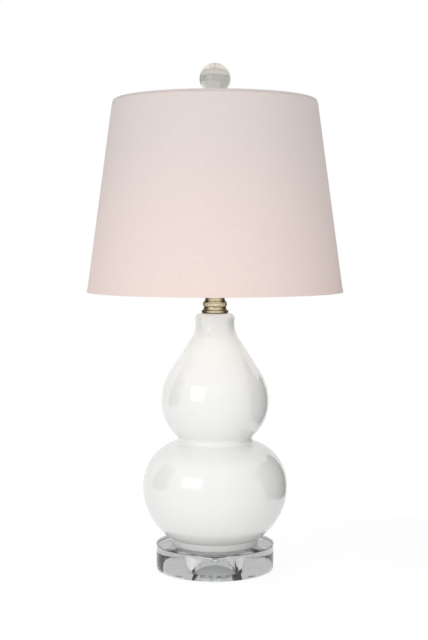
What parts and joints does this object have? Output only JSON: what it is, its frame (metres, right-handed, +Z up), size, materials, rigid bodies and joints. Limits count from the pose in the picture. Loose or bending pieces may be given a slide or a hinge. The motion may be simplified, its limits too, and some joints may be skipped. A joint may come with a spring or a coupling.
{
  "type": "double gourd table lamp",
  "caption": "Table lamp with a glossy double gourd body on a clear round base, a tapered drum shade on a harp and a crystal ball finial.",
  "frame": {"origin": "on the table under the lamp's axis, at the bottom of the bumpers", "axes": "+Z up along the lamp's axis, +Y towards the back, where the cord outlet is; the switch knob points to -Y"},
  "size_m": [0.3302, 0.3302, 0.654],
  "materials": {
    "clear_acrylic": "polished clear cast acrylic",
    "clear_bumper": "soft clear bumper",
    "zinc_steel": "zinc plated steel, faint turning marks",
    "white_glaze": "glossy white glaze",
    "grommet_rubber": "matt white rubber",
    "antique_brass": "polished brass with darkened edges and grooves",
    "shell_brass": "bright spun brass",
    "liner_card": "fibre card",
    "socket_moulding": "black moulded phenolic",
    "contact_metal": "stamped contact brass",
    "bulb_glass": "clear glass bulb",
    "cap_aluminium": "rolled thread cap",
    "insulator_glass": "black glass insulator",
    "stem_glass": "clear glass stem",
    "filament": "phosphor coated filament sticks",
    "shade_cloth": "fine plain weave in pale blush",
    "shade_backing": "white styrene backing",
    "frame_enamel": "white enamelled wire",
    "crystal": "polished clear crystal"
  },
  "bodies": {
    "stand": {"acrylic_base": "clear_acrylic", "bumper_feet": "clear_bumper", "base_washer": "zinc_steel", "base_nut": "zinc_steel", "threaded_rod": "zinc_steel", "lower_gourd": "white_glaze", "upper_gourd": "white_glaze", "cord_grommet": "grommet_rubber", "vase_cap": "antique_brass", "knurled_collar": "antique_brass", "neck_cone": "antique_brass", "harp_saddle": "antique_brass", "saddle_nut": "antique_brass", "socket_cap": "shell_brass", "socket_set_screw": "zinc_steel", "socket_shell": "shell_brass", "socket_liner": "liner_card", "socket_body": "socket_moulding", "screw_shell": "contact_metal", "centre_contact": "contact_metal"},
    "switch": {"switch_shaft": "zinc_steel", "switch_knob": "socket_moulding"},
    "bulb": {"bulb_globe": "bulb_glass", "bulb_cap": "cap_aluminium", "bulb_insulator": "insulator_glass", "bulb_contact": "contact_metal", "bulb_stem": "stem_glass", "bulb_filaments": "filament"},
    "harp": {"harp_bow": "antique_brass"},
    "sleeve_left": {"harp_sleeve_left": "antique_brass"},
    "sleeve_right": {"harp_sleeve_right": "antique_brass"},
    "swivel": {"harp_stud": "antique_brass"},
    "shade": {"shade_fabric": "shade_cloth", "shade_liner": "shade_backing", "shade_top_ring": "frame_enamel", "shade_bottom_ring": "frame_enamel", "shade_top_trim": "shade_cloth", "shade_bottom_trim": "shade_cloth", "spider_hub": "frame_enamel", "spider_arms": "frame_enamel"},
    "finial": {"finial_cup": "antique_brass", "finial_ball": "crystal"}
  },
  "joints": [
    {"name": "switch_turn", "type": "hinge", "parent": "stand", "child": "switch", "pos_m": [0, -0.0161, 0.38555], "axis": [0, -1, 0], "continuous": true},
    {"name": "bulb_turn", "type": "hinge", "parent": "stand", "child": "bulb", "pos_m": [0, 0, 0.41], "axis": [0, 0, 1], "continuous": true},
    {"name": "harp_lift", "type": "slide", "parent": "stand", "child": "harp", "axis": [0, 0, 1], "range_m": [0, 0.03]},
    {"name": "sleeve_left_slide", "type": "slide", "parent": "harp", "child": "sleeve_left", "axis": [0, 0, 1], "range_m": [0, 0.02]},
    {"name": "sleeve_right_slide", "type": "slide", "parent": "harp", "child": "sleeve_right", "axis": [0, 0, 1], "range_m": [0, 0.02]},
    {"name": "swivel_turn", "type": "hinge", "parent": "harp", "child": "swivel", "pos_m": [0, 0, 0.59785], "axis": [0, 0, 1], "continuous": true},
    {"name": "shade_lift", "type": "slide", "parent": "swivel", "child": "shade", "axis": [0, 0, 1], "range_m": [0, 0.27]},
    {"name": "finial_turn", "type": "hinge", "parent": "shade", "child": "finial", "pos_m": [0, 0, 0.634], "axis": [0, 0, 1], "continuous": true}
  ]
}
